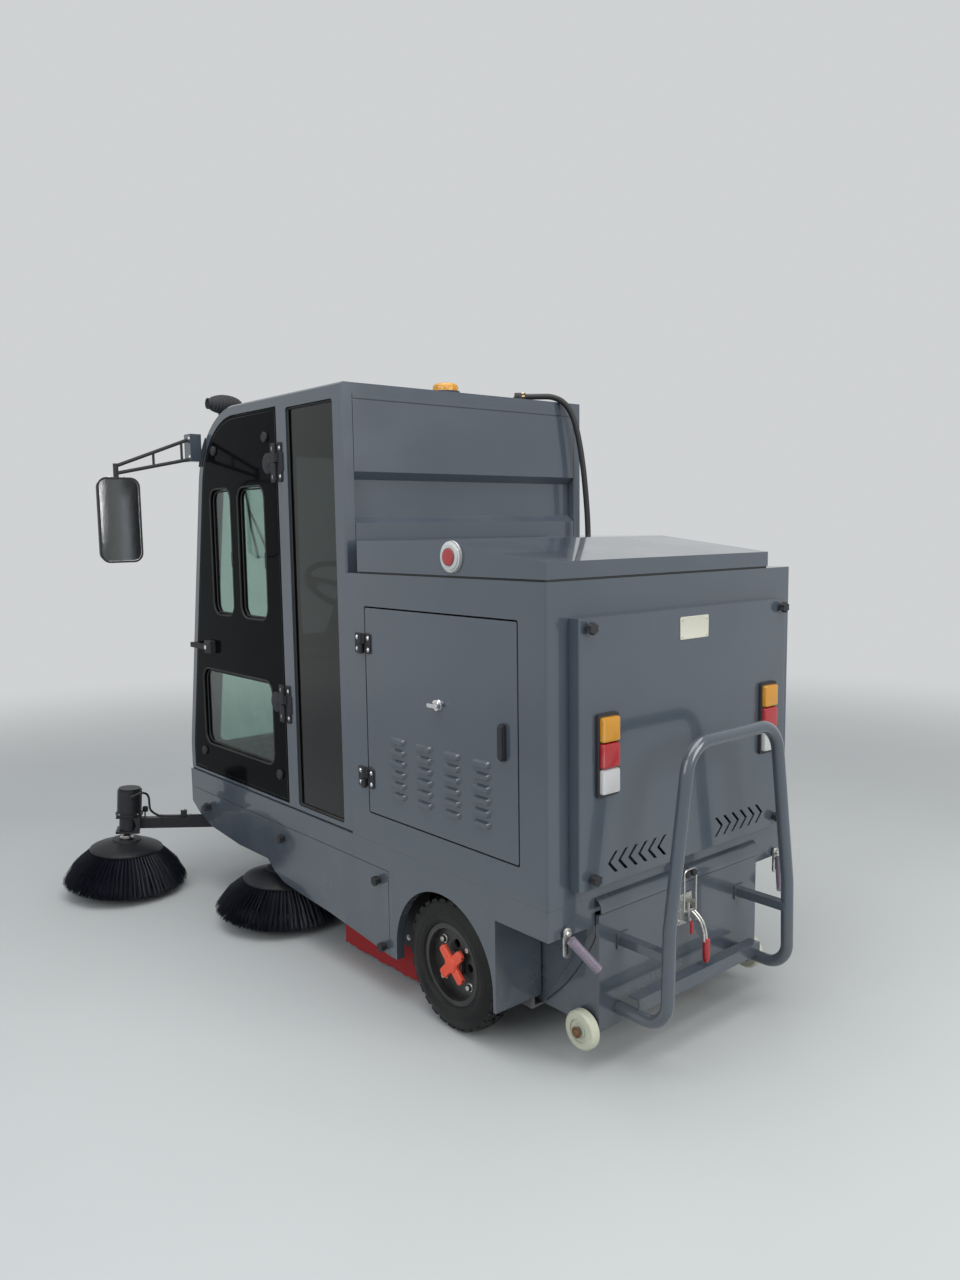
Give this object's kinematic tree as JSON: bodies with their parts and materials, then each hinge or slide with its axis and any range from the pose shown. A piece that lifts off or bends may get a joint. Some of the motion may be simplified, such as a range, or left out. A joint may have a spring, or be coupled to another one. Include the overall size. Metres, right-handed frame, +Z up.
{
  "type": "compact road sweeper",
  "caption": "Three-wheel electric road sweeper with a closed cab, side brushes, a roller brush and a pull-out dust bin.",
  "frame": {"origin": "on the ground under the middle of the whole vehicle's box", "axes": "+X to the vehicle's left, +Y to its rear, +Z up"},
  "size_m": [2.1684, 2.7816, 2.076],
  "materials": {
    "body_paint": "gloss paint",
    "chassis_paint": "satin paint",
    "black_panel": "gloss black glass",
    "clear_glass": "green tinted glass",
    "black_metal": "satin black",
    "black_plastic": "moulded",
    "bristle": "nylon bristle",
    "tyre": "rubber",
    "rim": "black paint",
    "nylon": "cream nylon",
    "red_rubber": "red sheet rubber",
    "zinc": "zinc plated",
    "lamp": "lamp lens",
    "hose": "black hose",
    "seal": "black seal",
    "seat": "black vinyl",
    "battery": "battery case"
  },
  "bodies": {
    "chassis": {"access_panels": "body_paint", "battery_pack": "battery", "beacon": "lamp", "body_box": "body_paint", "brush_housing": "chassis_paint", "cab_floor": "chassis_paint", "cab_front": "body_paint", "cab_glazing": "clear_glass", "cab_rear_panel": "body_paint", "cab_roof": "body_paint", "cab_sides": "body_paint", "chassis_frame": "chassis_paint", "corner_levers": "zinc", "driver_seat": "seat", "front_apron": "body_paint", "headlamps": "lamp", "lid_seal": "seal", "mirrors": "black_plastic", "mist_fan": "black_plastic", "rear_hatch": "body_paint", "rear_valance": "body_paint", "roof_hose": "hose", "rubber_skirts": "red_rubber", "skirts": "body_paint", "small_hardware": "black_plastic", "tail_lamps": "lamp"},
    "lid": {"lid": "body_paint"},
    "steering": {"steering_fork": "black_metal"},
    "steering_wheel": {"steering_wheel": "black_plastic"},
    "front_wheel": {"tyre_front": "tyre", "rim_front": "rim"},
    "roller": {"roller_brush": "bristle"},
    "bin": {"dust_bin": "body_paint", "bin_handle": "body_paint", "bin_latch": "zinc"},
    "cab_door_left": {"cab_door_left": "black_panel", "cab_door_glass_left": "clear_glass", "cab_door_fittings_left": "black_plastic"},
    "service_door_left": {"service_door_left": "body_paint", "service_fittings_left": "black_plastic"},
    "rear_wheel_left": {"tyre_rear_left": "tyre", "rim_rear_left": "rim"},
    "bin_roller_left": {"bin_roller_left": "nylon"},
    "arm_front_left": {"arm_front_left": "black_metal"},
    "brush_front_left": {"brush_front_left": "bristle"},
    "arm_mid_left": {"arm_mid_left": "black_metal"},
    "brush_mid_left": {"brush_mid_left": "bristle"},
    "cab_door_right": {"cab_door_right": "black_panel", "cab_door_glass_right": "clear_glass", "cab_door_fittings_right": "black_plastic"},
    "service_door_right": {"service_door_right": "body_paint", "service_fittings_right": "black_plastic"},
    "rear_wheel_right": {"tyre_rear_right": "tyre", "rim_rear_right": "rim"},
    "bin_roller_right": {"bin_roller_right": "nylon"},
    "arm_front_right": {"arm_front_right": "black_metal"},
    "brush_front_right": {"brush_front_right": "bristle"},
    "arm_mid_right": {"arm_mid_right": "black_metal"},
    "brush_mid_right": {"brush_mid_right": "bristle"}
  },
  "joints": [
    {"name": "steer", "type": "hinge", "parent": "chassis", "child": "steering", "pos_m": [0, -0.67621, 0.44], "axis": [0, 0, 1], "range_deg": [-60, 60]},
    {"name": "steering_wheel_turn", "type": "hinge", "parent": "chassis", "child": "steering_wheel", "pos_m": [0, -0.61621, 1.29], "axis": [0, 0.5299, 0.848], "range_deg": [-365, 365]},
    {"name": "front_wheel_spin", "type": "hinge", "parent": "steering", "child": "front_wheel", "pos_m": [0, -0.63621, 0.2075], "axis": [1, 0, 0], "continuous": true},
    {"name": "lid_lift", "type": "hinge", "parent": "chassis", "child": "lid", "pos_m": [0, 0.29979, 1.479], "axis": [1, 0, 0], "range_deg": [0, 70]},
    {"name": "roller_spin", "type": "hinge", "parent": "chassis", "child": "roller", "pos_m": [0, 0.06629, 0.151], "axis": [1, 0, 0], "continuous": true},
    {"name": "bin_slide", "type": "slide", "parent": "chassis", "child": "bin", "axis": [0, 1, 0], "range_m": [0, 0.62]},
    {"name": "cab_door_left_swing", "type": "hinge", "parent": "chassis", "child": "cab_door_left", "pos_m": [0.566, -0.18921, 1.3], "axis": [0, 0, 1], "range_deg": [0, 95]},
    {"name": "service_door_left_swing", "type": "hinge", "parent": "chassis", "child": "service_door_left", "pos_m": [0.571, 0.33779, 0.945], "axis": [0, 0, -1], "range_deg": [0, 110]},
    {"name": "rear_wheel_left_spin", "type": "hinge", "parent": "chassis", "child": "rear_wheel_left", "pos_m": [0.501, 0.73879, 0.2075], "axis": [1, 0, 0], "continuous": true},
    {"name": "bin_roller_left_spin", "type": "hinge", "parent": "bin", "child": "bin_roller_left", "pos_m": [0.396, 1.15379, 0.113], "axis": [1, 0, 0], "continuous": true},
    {"name": "arm_front_left_lift", "type": "hinge", "parent": "chassis", "child": "arm_front_left", "pos_m": [0.4, -0.92621, 0.262], "axis": [-0.4394, -0.8983, 0], "range_deg": [0, 8]},
    {"name": "brush_front_left_spin", "type": "hinge", "parent": "arm_front_left", "child": "brush_front_left", "pos_m": [0.82613, -1.13468, 0.13278], "axis": [-0.0627, 0.0307, 0.9976], "continuous": true},
    {"name": "arm_mid_left_lift", "type": "hinge", "parent": "chassis", "child": "arm_mid_left", "pos_m": [0.3, -0.29621, 0.262], "axis": [-0.4898, -0.8718, 0], "range_deg": [0, 8]},
    {"name": "brush_mid_left_spin", "type": "hinge", "parent": "arm_mid_left", "child": "brush_mid_left", "pos_m": [0.48742, -0.4015, 0.11464], "axis": [-0.0608, 0.0342, 0.9976], "continuous": true},
    {"name": "cab_door_right_swing", "type": "hinge", "parent": "chassis", "child": "cab_door_right", "pos_m": [-0.566, -0.18921, 1.3], "axis": [0, 0, -1], "range_deg": [0, 95]},
    {"name": "service_door_right_swing", "type": "hinge", "parent": "chassis", "child": "service_door_right", "pos_m": [-0.571, 0.33779, 0.945], "axis": [0, 0, 1], "range_deg": [0, 110]},
    {"name": "rear_wheel_right_spin", "type": "hinge", "parent": "chassis", "child": "rear_wheel_right", "pos_m": [-0.501, 0.73879, 0.2075], "axis": [1, 0, 0], "continuous": true},
    {"name": "bin_roller_right_spin", "type": "hinge", "parent": "bin", "child": "bin_roller_right", "pos_m": [-0.396, 1.15379, 0.113], "axis": [1, 0, 0], "continuous": true},
    {"name": "arm_front_right_lift", "type": "hinge", "parent": "chassis", "child": "arm_front_right", "pos_m": [-0.4, -0.92621, 0.262], "axis": [-0.4394, 0.8983, 0], "range_deg": [0, 8]},
    {"name": "brush_front_right_spin", "type": "hinge", "parent": "arm_front_right", "child": "brush_front_right", "pos_m": [-0.82613, -1.13468, 0.13278], "axis": [0.0627, 0.0307, 0.9976], "continuous": true},
    {"name": "arm_mid_right_lift", "type": "hinge", "parent": "chassis", "child": "arm_mid_right", "pos_m": [-0.3, -0.29621, 0.262], "axis": [-0.4898, 0.8718, 0], "range_deg": [0, 8]},
    {"name": "brush_mid_right_spin", "type": "hinge", "parent": "arm_mid_right", "child": "brush_mid_right", "pos_m": [-0.48742, -0.4015, 0.11464], "axis": [0.0608, 0.0342, 0.9976], "continuous": true}
  ],
  "couplings": [
    {"joint": "steering_wheel_turn", "follows": "steer", "ratio": 6}
  ]
}
